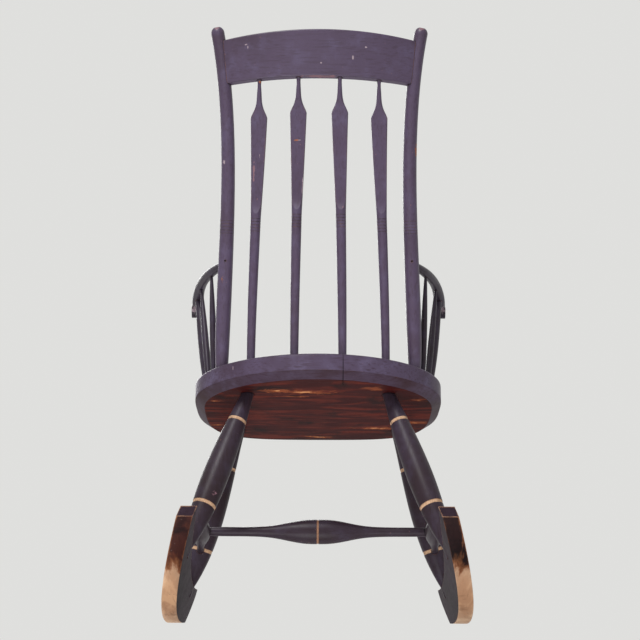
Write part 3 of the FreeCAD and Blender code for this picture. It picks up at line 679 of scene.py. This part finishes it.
@dataclass
class Back:
    """Crest rail, two bent posts and four arrow spindles.

    Args:
        paint: Paint of every piece.
        gloss: Its specular level.
        eased: Radius of the arrises of posts and spindles, in metres.
        crest_eased: Radius of the crest's arrises, in metres.
        marks: Worn places, each with its piece.
    """

    paint: Paint = Paint()
    gloss: float = 0.4
    eased: float = 0.0004
    crest_eased: float = 0.0012
    marks: tuple[tuple[str, Mark], ...] = (
        ("crest_rail", Mark(Hurt.PALE, (0.153, 0.356, 1.086), (0.0035, 0.02, 0.0014), 0.4)),
        ("crest_rail", Mark(Hurt.PALE, (0.149, 0.356, 1.081), (0.0014, 0.02, 0.0035), 0.4)),
        ("crest_rail", Mark(Hurt.PALE, (-0.070, 0.356, 1.056), (0.0025, 0.02, 0.005), 0.4)),
        ("crest_rail", Mark(Hurt.PALE, (-0.097, 0.364, 1.076), (0.003, 0.02, 0.002), 0.4)),
        ("crest_rail", Mark(Hurt.PALE, (-0.004, 0.350, 1.044), (0.003, 0.02, 0.002), 0.4)),
        ("crest_rail", Mark(Hurt.PINK, (-0.002, 0.338, 1.021), (0.05, 0.012, 0.002), 0.9)),
        ("crest_rail", Mark(Hurt.ORANGE, (-0.152, 0.345, 1.034), (0.005, 0.02, 0.003), 0.8)),
        ("back_post_left", Mark(Hurt.PINK, (0.214, 0.363, 1.125), (0.007, 0.012, 0.006), 0.8)),
        ("back_post_left", Mark(Hurt.PALE, (0.199, 0.234, 0.875), (0.003, 0.006, 0.005), 0.7)),
        ("back_post_left", Mark(Hurt.ORANGE, (0.201, 0.160, 0.640), (0.004, 0.014, 0.012), 0.9)),
        ("back_post_left", Mark(Hurt.PINK, (0.215, 0.225, 0.90), (0.006, 0.03, 0.10), 0.9)),
        ("back_post_right", Mark(Hurt.PINK, (-0.214, 0.363, 1.125), (0.007, 0.012, 0.006), 0.8)),
        ("back_post_right", Mark(Hurt.ORANGE, (-0.2135, 0.265, 0.953), (0.005, 0.02, 0.05), 0.8)),
        ("back_post_right", Mark(Hurt.ORANGE, (-0.206, 0.240, 0.901), (0.005, 0.02, 0.016), 0.9)),
        ("back_post_right", Mark(Hurt.PINK, (-0.217, 0.30, 1.02), (0.005, 0.03, 0.04), 0.9)),
        ("back_spindle_inner_left", Mark(Hurt.ORANGE, (0.047, 0.277, 0.904), (0.006, 0.02, 0.002), 0.5)),
        ("back_spindle_inner_left", Mark(Hurt.PALE, (0.041, 0.277, 0.904), (0.004, 0.02, 0.0012), 0.4)),
        ("back_spindle_inner_left", Mark(Hurt.PALE, (0.0335, 0.245, 0.815), (0.002, 0.02, 0.03), 0.8)),
        ("back_spindle_outer_left", Mark(Hurt.ORANGE, (0.123, 0.322, 1.018), (0.004, 0.012, 0.003), 0.5)),
        ("back_spindle_outer_left", Mark(Hurt.PALE, (0.124, 0.265, 0.880), (0.0012, 0.02, 0.010), 0.8)),
        ("back_spindle_outer_left", Mark(Hurt.PINK, (0.129, 0.232, 0.795), (0.002, 0.02, 0.006), 0.8)),
        ("back_spindle_outer_left", Mark(Hurt.PINK, (0.136, 0.245, 0.835), (0.0025, 0.02, 0.03), 0.9)),
        ("back_spindle_inner_right", Mark(Hurt.PINK, (-0.050, 0.228, 0.770), (0.0015, 0.02, 0.003), 0.8)),
    )

    def finish(self, name: str, grain: Grain, eased: float) -> None:
        """Gives one piece its paint and its marks.

        Args:
            name: The piece.
            grain: Which way its timber runs.
            eased: Radius of its arrises, in metres.
        """
        layers = self.paint.spread(name + "_paint", grain)
        for piece, mark in self.marks:
            if piece == name:
                mark.lay(layers)
        give(name, layers.finish(eased, self.gloss))

    def dress(self) -> None:
        """Gives each piece of the back its own worn paint."""
        self.finish("crest_rail", Grain.ACROSS, self.crest_eased)
        for side, _ in SIDES:
            for stem in ("back_post", "back_spindle_inner", "back_spindle_outer"):
                self.finish(f"{stem}_{side}", Grain.UPRIGHT, self.eased)


@dataclass
class Arms:
    """Arms with their pins, thin spindles and front posts.

    Args:
        paint: Paint of every piece, a darker copy of the back's paint as painted shade on the arms seen
            from below.
        eased: Radius of the arrises, in metres.
        gloss: The paint's specular level.
        grains: Which way the timber of each piece runs.
        marks: Worn places of the left side, each with its piece.
    """

    # Painted shade: a darker copy of the back's paint, as the arms are seen from below in shadow.
    paint: Paint = Paint(tone(50, 41, 54), tone(68, 60, 80), tone(36, 26, 30), wear=1.0, flecks=0.12)
    eased: float = 0.0006
    gloss: float = 0.25
    grains: tuple[tuple[str, Grain], ...] = (
        ("arm", Grain.FORE),
        ("arm_pin", Grain.FORE),
        ("arm_post", Grain.UPRIGHT),
        ("arm_spindle_rear", Grain.UPRIGHT),
        ("arm_spindle_middle", Grain.UPRIGHT),
    )
    marks: tuple[tuple[str, Mark], ...] = (
        ("arm", Mark(Hurt.PALE, (0.275, -0.105, 0.69), (0.008, 0.02, 0.006), 0.9)),
        ("arm_post", Mark(Hurt.PINK, (0.255, -0.03, 0.62), (0.006, 0.02, 0.02), 0.95)),
    )

    def dress(self) -> None:
        """Gives each piece of the arms its own worn paint."""
        for stem, grain in self.grains:
            for side, sign in SIDES:
                layers = self.paint.spread(f"{stem}_{side}_paint", grain)
                for piece, mark in self.marks:
                    if piece == stem:
                        mark.mirrored(sign).lay(layers)
                give(f"{stem}_{side}", layers.finish(self.eased, self.gloss))


@dataclass
class Seat:
    """Plank seat: painted above and round its rim, with brown and painted shade on the rim's lower part,
    rubbed red-brown timber below.

    Args:
        paint: Paint of the top and the rim.
        timber: Timber of the underside.
        eased: Radius of the arrises, in metres.
        gloss: The finish's specular level.
        below: How far the underside faces down, where it starts and where it is whole.
        lower: The same for the rim's lower part.
        brown_and_shade_noise: Noise over the rim's lower part.
        brown_and_shade_least: How well that brown and painted shade covers at least.
        brown_and_shade: Brown with painted shade on the rim's lower part, darker the more it faces down.
        streaks: Noise of the rubbed streaks along the grain.
        torn: Noise of their outline.
        spread: Push of both on the outline.
        thin: Steps between which a rubbed streak fades in.
        thin_strength: How well it covers.
        worn: Steps between which its bare middle fades in.
        rubbed: What a rubbed streak shows.
        wood: What its bare middle shows.
        bare: Middle and half size of each rubbed place, in metres.
        marks: The crack, the knot and a knock on the rim.
    """

    paint: Paint = Paint(tone(82, 70, 90), tone(104, 95, 122), tone(58, 42, 50), wear=0.5)
    timber: Timber = Timber(tone(56, 13, 14), tone(98, 34, 23), tone(28, 8, 11), 0.35)
    eased: float = 0.007
    gloss: float = 0.1
    below: Pair = (0.9, 0.97)
    lower: Pair = (0.1, 0.5)
    brown_and_shade_noise: Clouds = Clouds(scale=26.0, detail=5.0, stretch=(0.3, 0.3, 1.0), step=(0.35, 0.65), strength=0.5)
    brown_and_shade_least: float = 0.35
    brown_and_shade: Coat = Coat(tone(54, 33, 35), 0.5)
    streaks: Clouds = Clouds(scale=120.0, detail=5.0, stretch=(0.25, 1.0, 1.0), bend=1.2)
    torn: Clouds = Clouds(scale=60.0, detail=6.0, stretch=(0.6, 1.0, 1.0), bend=0.8)
    spread: float = 3.0
    thin: Pair = (-0.2, 0.9)
    thin_strength: float = 0.75
    worn: Pair = (0.9, 1.2)
    rubbed: Coat = Coat(tone(150, 78, 44), 0.7, -0.0002)
    wood: Coat = Coat(tone(214, 146, 96), 0.7, -0.0001)
    bare: tuple[tuple[Triple, Triple], ...] = (
        ((0.030, 0.092, 0.414), (0.060, 0.016, 0.02)),
        ((0.085, 0.098, 0.413), (0.040, 0.010, 0.02)),
        ((0.048, 0.062, 0.415), (0.030, 0.006, 0.02)),
        ((0.216, 0.031, 0.417), (0.018, 0.006, 0.02)),
        ((0.217, -0.131, 0.427), (0.018, 0.005, 0.02)),
        ((-0.209, 0.042, 0.416), (0.016, 0.010, 0.02)),
        ((-0.205, -0.110, 0.426), (0.034, 0.010, 0.02)),
        ((-0.130, -0.150, 0.428), (0.040, 0.010, 0.02)),
        ((0.002, -0.216, 0.432), (0.045, 0.007, 0.02)),
        ((-0.110, 0.115, 0.412), (0.022, 0.010, 0.02)),
    )
    marks: tuple[Mark, ...] = (
        Mark(Hurt.DARK, (-0.0505, 0.165, 0.43), (0.0011, 0.05, 0.05), 0.12),
        Mark(Hurt.DARK, (0.048, 0.065, 0.415), (0.016, 0.0035, 0.01), 0.3),
        Mark(Hurt.PALE, (0.175, 0.150, 0.446), (0.0014, 0.02, 0.007), 0.3),
    )

    def dress(self) -> None:
        """Paints the plank and lays the timber, its bare streaks and the crack below."""
        layers = self.paint.spread("seat_finish", Grain.ACROSS)
        easel = layers.easel
        down = easel.toward(DOWN)
        below = down.rising(*self.below)
        # Painted shade with brown: the rim's lower part turns darker and browner the more it faces down.
        layers.lay(down.rising(*self.lower) * (self.brown_and_shade_noise.mask(easel) + self.brown_and_shade_least), self.brown_and_shade)
        self.timber.cover(layers, below, Grain.ACROSS)
        ragged = (self.streaks.swing(easel) + self.torn.swing(easel)) * self.spread
        for centre, reach in self.bare:
            patch = easel.near(centre, reach) + ragged
            layers.lay(patch.rising(*self.thin) * self.thin_strength * below, self.rubbed)
            layers.lay(patch.rising(*self.worn) * below, self.wood)
        for mark in self.marks:
            mark.lay(layers)
        give("seat_plank", layers.finish(self.eased, self.gloss))


@dataclass
class Underframe:
    """Four ringed legs, two side stretchers and the medial stretcher.

    Args:
        stance: How the chair sits back on its treads.
        paint: Paint of every piece, a darker copy of the back's paint as painted shade.
        eased: Radius of the arrises, in metres.
        gloss: The paint's specular level.
        rear: Ends of the left rear leg's axis in the drawing, in metres.
        front: Ends of the left front leg's axis in the drawing, in metres.
        rear_rings: Where a rear leg's rings lie, as shares of its axis.
        front_rings: Where a front leg's rings lie, as shares of its axis.
        ring_width: Width of the legs' rings, in metres.
        ring_colour: Colour of the legs' rings.
        medial_ring: Ring round the middle of the medial stretcher.
        knocked: The leg that has a knock.
        knock: That knock.
    """

    stance: Stance
    # Painted shade: a darker copy of the back's paint, for the underframe in the seat's shadow.
    paint: Paint = Paint(tone(54, 43, 53), tone(66, 57, 74), tone(42, 29, 32), roughness=0.42)
    eased: float = 0.0006
    gloss: float = 0.18
    rear: tuple[Triple, Triple] = ((0.146, 0.108, 0.421), (0.257, 0.185, 0.0754))
    front: tuple[Triple, Triple] = ((0.172, -0.135, 0.421), (0.2748, -0.187, 0.0837))
    rear_rings: Pair = (0.19, 0.74)
    front_rings: Pair = (0.25, 0.77)
    ring_width: float = 0.007
    ring_colour: Triple = tone(204, 166, 134)
    medial_ring: Band = Band(NOWHERE, SIDEWAYS, middle=0.0, width=0.004, colour=tone(150, 110, 86))
    knocked: str = "rear_leg_left"
    knock: Mark = Mark(Hurt.PINK, (0.205, 0.150, 0.176), (0.007, 0.02, 0.009), 0.9)

    def rings(self, line: tuple[Triple, Triple], shares: Pair, sign: int) -> list[Band]:
        """The two rings of one leg.

        Args:
            line: Ends of the left leg's axis.
            shares: Where the rings lie, as shares of that line.
            sign: 1 for the left leg and -1 for the right one.

        Returns:
            The rings as bands.
        """
        top, foot = (self.stance.put((sign * x, y, z)) for x, y, z in line)
        axis = tuple((foot - top).normalized())
        places = [share * (foot - top).length for share in shares]
        return [Band(tuple(top), axis, place, self.ring_width, self.ring_colour) for place in places]

    def finish(self, name: str, grain: Grain, bands: list[Band]) -> None:
        """Gives one turning its paint and its rings.

        Args:
            name: The piece.
            grain: Which way it runs.
            bands: The rings round it.
        """
        layers = self.paint.spread(name + "_paint", grain)
        for band in bands:
            band.lay(layers)
        if name == self.knocked:
            self.knock.lay(layers)
        give(name, layers.finish(self.eased, self.gloss))

    def dress(self) -> None:
        """Paints the turnings with their rings."""
        for side, sign in SIDES:
            self.finish(f"rear_leg_{side}", Grain.UPRIGHT, self.rings(self.rear, self.rear_rings, sign))
            self.finish(f"front_leg_{side}", Grain.UPRIGHT, self.rings(self.front, self.front_rings, sign))
            self.finish(f"side_stretcher_{side}", Grain.FORE, [])
        self.finish("medial_stretcher", Grain.ACROSS, [self.medial_ring])


@dataclass
class Rockers:
    """Two rockers, painted on their sides and worn to the timber on their treads.

    Args:
        paint: Paint of the sides, a darker copy of the back's paint as painted shade.
        eased: Radius of the arrises, in metres.
        gloss: The finish's specular level.
        tread: How far the tread faces down, where it starts and where it is whole.
        rubbed: Timber of the tread's bare part.
        stained: Timber behind it on the left rocker.
        shaded: Timber behind it on the right rocker, a darker copy of the left one as painted shade.
        bare_until: Y at which the bare part ends, in metres.
        torn: Noise of its ragged end.
        ragged: Push of that noise, in metres.
        bare_step: Steps between which the bare part fades in, in metres from its end.
        fringe: Half-worn stain round the bare part.
        fringe_in: Steps between which it fades in.
        fringe_out: Steps between which it fades out.
        fringe_strength: How well it covers.
        edge_radius: How far the same wear reaches along the tread's edges, in metres.
        edge_ragged: Push of the noise on it.
        edge_spared: How far an edge has to stand out to be worn.
        edge_step: Steps between which it fades in.
        behind: Steps between which it fades out towards the bare part.
        grit: Pale grit pressed into the tread.
        grit_share: Share of the places for it that have some.
        tail_from: Y behind which the tail is chafed, in metres.
        tail_step: Distance over which that starts, in metres.
        chafe: Wear of the tail's edges.
        chafed: What shows there.
        chafed_strength: How well it covers.
    """

    # Painted shade: a darker copy of the back's paint on the rockers' shaded sides.
    paint: Paint = Paint(tone(46, 32, 42), tone(60, 47, 60), tone(32, 20, 25), wear=1.0, roughness=0.65)
    eased: float = 0.0015
    gloss: float = 0.12
    tread: Pair = (0.7, 0.8)
    rubbed: Timber = Timber(tone(200, 166, 138), tone(222, 192, 162), tone(152, 118, 94), 0.25)
    stained: Timber = Timber(tone(66, 35, 31), tone(104, 58, 42), tone(34, 19, 21), 0.5)
    # Painted shade: the left rocker's stained timber made darker for the right rocker.
    shaded: Timber = Timber(tone(40, 23, 24), tone(62, 34, 30), tone(24, 15, 18), 0.5)
    bare_until: float = 0.165
    torn: Clouds = Clouds(scale=46.0, detail=6.0, stretch=(1.5, 0.3, 0.3), bend=0.4)
    ragged: float = 0.22
    bare_step: Pair = (-0.015, 0.015)
    fringe: Coat = Coat(tone(148, 96, 64), 0.7)
    fringe_in: Pair = (-0.06, -0.01)
    fringe_out: Pair = (0.03, 0.0)
    fringe_strength: float = 0.7
    edge_radius: float = 0.006
    edge_ragged: float = 1.2
    edge_spared: float = 0.08
    edge_step: Pair = (0.02, 0.2)
    behind: Pair = (0.04, -0.04)
    grit: Flecks = Flecks(120.0, 0.2, 0.7, Coat(tone(118, 104, 98), 0.8))
    grit_share: float = 0.1
    tail_from: float = 0.338
    tail_step: Pair = (0.0, 0.01)
    chafe: Chafe = Chafe(0.004, Clouds(scale=70.0, detail=5.0), 0.58, 1.2, (0.02, 0.1))
    chafed: Coat = Coat(tone(186, 142, 112), 0.7, -0.0002)
    chafed_strength: float = 0.8

    def finish(self, side: str, back: Timber) -> None:
        """Paints one rocker's sides, stains the back of its tread and rubs the front of it bare.

        Args:
            side: Which rocker.
            back: The timber at the back of its tread.
        """
        layers = self.paint.spread(f"rocker_{side}_finish", Grain.FORE)
        easel = layers.easel
        tread = easel.toward(DOWN).rising(*self.tread)
        back.cover(layers, tread, Grain.FORE)
        torn = self.torn.swing(easel)
        reach = easel.along((0.0, self.bare_until, 0.0), FORWARD) + torn * self.ragged
        self.rubbed.cover(layers, tread * reach.rising(*self.bare_step), Grain.FORE)
        fringe = reach.rising(*self.fringe_in) * reach.rising(*self.fringe_out)
        layers.lay(tread * fringe * self.fringe_strength, self.fringe)
        edge = easel.edges(self.edge_radius) + torn * self.edge_ragged - self.edge_spared
        layers.lay(tread * edge.rising(*self.edge_step) * reach.rising(*self.behind), self.fringe)
        layers.lay(tread * self.grit.mask(easel, self.grit_share), self.grit.coat)
        tail = easel.along((0.0, self.tail_from, 0.0), REARWARD).rising(*self.tail_step)
        layers.lay(tail * self.chafe.mask(easel) * self.chafed_strength, self.chafed)
        give(f"rocker_{side}", layers.finish(self.eased, self.gloss))

    def dress(self) -> None:
        """Finishes both rockers."""
        self.finish("left", self.stained)
        self.finish("right", self.shaded)


@dataclass(frozen=True)
class Lamp:
    """A square soft lamp.

    Args:
        name: The lamp's name.
        place: Where it hangs, in metres.
        aim: The point that it faces.
        size: Its side, in metres.
        power: Its power, in watts.
    """

    name: str
    place: Triple
    aim: Triple
    size: float
    power: float

    def build(self) -> None:
        """Hangs the lamp."""
        data = bpy.data.lights.new(self.name, "AREA")
        data.size = self.size
        data.energy = self.power
        lamp = bpy.data.objects.new(self.name, data)
        bpy.context.scene.collection.objects.link(lamp)
        lamp.location = self.place
        lamp.rotation_euler = (Vector(self.aim) - Vector(self.place)).to_track_quat("-Z", "Y").to_euler()


@dataclass
class Studio:
    """Pale floor seen from above only, pale surroundings and soft lamps.

    Args:
        floor_size: Side of the floor, in metres.
        floor_colour: Its colour.
        fade: Distances between which the camera sees the surroundings in its place, in metres.
        backdrop: Colour of the surroundings.
        ambient: Strength of their light on surfaces.
        lamps: The lamps.
    """

    floor_size: float = 14.0
    floor_colour: Triple = (0.86, 0.855, 0.84)
    fade: Pair = (1.6, 3.2)
    backdrop: Triple = (0.74, 0.74, 0.725)
    ambient: float = 0.28
    lamps: tuple[Lamp, ...] = (
        Lamp("key", (0.9, 3.0, 3.2), (0.0, 0.0, 0.6), 1.3, 125.0),
        Lamp("front", (0.9, -3.0, 2.8), (0.0, 0.0, 0.6), 2.0, 75.0),
        Lamp("low", (0.4, 1.8, -2.4), (0.0, 0.0, 0.4), 1.4, 50.0),
    )

    def floor(self) -> None:
        """A plain floor that rays from below pass through."""
        bpy.ops.object.select_all(action="DESELECT")
        bpy.ops.mesh.primitive_plane_add(size=self.floor_size)
        floor = bpy.context.object
        floor.name = "studio_floor"
        easel = Easel(bpy.data.materials.new("floor_matt"))
        behind = Signal(easel, easel.node("ShaderNodeNewGeometry").outputs["Backfacing"])
        rays = easel.node("ShaderNodeLightPath").outputs
        shadow = Signal(easel, rays["Is Shadow Ray"])
        seen = Signal(easel, rays["Is Camera Ray"]) * easel.length(easel.place).rising(*self.fade)
        matt = easel.node("ShaderNodeBsdfDiffuse", None, {"Color": self.floor_colour}).outputs[0]
        clear = easel.node("ShaderNodeBsdfTransparent").outputs[0]
        inputs = {0: behind.most(shadow).most(seen), 1: matt, 2: clear}
        easel.close(easel.node("ShaderNodeMixShader", None, inputs).outputs[0])
        floor.data.materials.append(easel.owner)

    def surroundings(self) -> None:
        """World that is pale to the camera and a soft white fill to surfaces."""
        world = bpy.data.worlds.new("studio")
        bpy.context.scene.world = world
        easel = Easel(world)
        rays = easel.node("ShaderNodeLightPath").outputs
        kinds = ("Is Camera Ray", "Is Glossy Ray", "Is Transmission Ray")
        camera, glossy, through = (Signal(easel, rays[kind]) for kind in kinds)
        light = {"Color": WHITE, "Strength": self.ambient}
        fill = easel.node("ShaderNodeBackground", None, light).outputs[0]
        pale = easel.node("ShaderNodeBackground", None, {"Color": self.backdrop}).outputs[0]
        inputs = {0: camera.most(glossy).most(through), 1: fill, 2: pale}
        easel.close(easel.node("ShaderNodeMixShader", None, inputs).outputs[0], "ShaderNodeOutputWorld")

    def build(self) -> None:
        """Sets the floor, the surroundings and the lamps."""
        self.floor()
        self.surroundings()
        for lamp in self.lamps:
            lamp.build()
        bpy.context.scene.view_settings.view_transform = "Standard"


@dataclass(frozen=True)
class ViewPoint:
    """The photograph's viewing angle: below and behind the chair.

    Args:
        place: The camera's place, in metres.
        pitch: How far it looks up, in degrees.
        roll: How far it is turned about its own axis, in degrees.
        focal: Focal length, in pixels of the picture.
        frame_width: Width of the picture, in pixels.
    """

    place: Triple = (-0.0033, 3.9416, -1.1763)
    pitch: float = 24.48
    roll: float = 0.19
    focal: float = 2014.28
    frame_width: int = 640

    def build(self) -> None:
        """Makes the camera and sets it as the scene's own."""
        data = bpy.data.cameras.new("view_from_behind")
        data.lens = self.focal / self.frame_width * data.sensor_width
        camera = bpy.data.objects.new("view_from_behind", data)
        bpy.context.scene.collection.objects.link(camera)
        pitch = math.radians(self.pitch)
        roll = math.radians(self.roll)
        ahead = Vector((0.0, -math.cos(pitch), math.sin(pitch)))
        right = -Vector(SIDEWAYS)
        over = right.cross(ahead)
        across = right * math.cos(roll) + over * math.sin(roll)
        upward = over * math.cos(roll) - right * math.sin(roll)
        turn = Matrix((across, upward, -ahead)).transposed().to_4x4()
        camera.matrix_world = Matrix.Translation(self.place) @ turn
        bpy.context.scene.camera = camera


def main() -> None:
    """Dresses the chair piece by piece and sets it in the studio."""
    logging.basicConfig(level=logging.INFO, format="%(name)s: %(message)s")
    ViewPoint().build()
    Studio().build()
    for assembly in (Back(), Arms(), Seat(), Underframe(Stance()), Rockers()):
        assembly.dress()
        log.info("finished the %s", type(assembly).__name__.lower())


if __name__ == "__main__":
    main()
